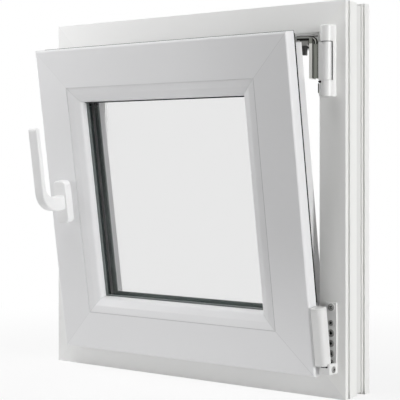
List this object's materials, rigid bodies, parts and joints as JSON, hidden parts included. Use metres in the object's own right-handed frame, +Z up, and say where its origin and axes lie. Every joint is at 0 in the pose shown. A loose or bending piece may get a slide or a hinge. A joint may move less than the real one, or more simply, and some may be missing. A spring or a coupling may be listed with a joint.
{
  "type": "tilt and turn window",
  "caption": "White PVC tilt and turn window with double glazing, shown tilted open into the room, with lever handle, stay arm and corner hinge.",
  "frame": {"origin": "on the frame's bottom face, at mid width, in the middle of the land between the front groove and the anchor channel", "axes": "+X towards the hinges as seen from the room, +Y towards the outside, +Z up"},
  "size_m": [0.6, 0.2124, 0.6],
  "materials": {
    "pvc_white": "smooth white PVC with a low sheen",
    "glass": "clear float glass",
    "rubber_black": "matt black seal",
    "spacer_dark": "dark grey spacer bar",
    "handle_white": "white powder coat",
    "hinge_white": "white cover caps",
    "buffer_dark": "dark plastic buffer",
    "steel_galvanised": "zinc plated steel"
  },
  "bodies": {
    "root": {"corner_hinge_block": "hinge_white", "corner_hinge_cover": "hinge_white", "corner_hinge_pin": "steel_galvanised", "corner_hinge_plate": "hinge_white", "faceplate_bottom": "steel_galvanised", "faceplate_handle_side": "steel_galvanised", "frame_head": "pvc_white", "frame_jamb_handle_side": "pvc_white", "frame_jamb_hinge_side": "pvc_white", "frame_seal": "rubber_black", "frame_sill": "pvc_white", "glass_edge_seal": "rubber_black", "glass_pane_outside": "glass", "glass_pane_room_side": "glass", "glass_spacer": "spacer_dark", "glazing_bead_bottom": "pvc_white", "glazing_bead_handle_side": "pvc_white", "glazing_bead_hinge_side": "pvc_white", "glazing_bead_top": "pvc_white", "glazing_gasket_outside": "rubber_black", "glazing_gasket_room_side": "rubber_black", "handle_lever": "handle_white", "handle_rosette": "handle_white", "keep_bottom": "steel_galvanised", "keeps_handle_side": "steel_galvanised", "locking_cam_bottom": "steel_galvanised", "locking_cams_handle_side": "steel_galvanised", "sash_bottom_rail": "pvc_white", "sash_seal": "rubber_black", "sash_stile_handle_side": "pvc_white", "sash_stile_hinge_side": "pvc_white", "sash_top_rail": "pvc_white", "stay_arm": "steel_galvanised", "stay_bearing_bracket": "hinge_white", "stay_bearing_pin": "steel_galvanised", "stay_block": "steel_galvanised", "stay_buffer": "buffer_dark", "stay_guide_rail": "steel_galvanised", "stay_knuckle": "hinge_white", "stay_leaf": "steel_galvanised", "stay_stud": "steel_galvanised"}
  },
  "joints": []
}
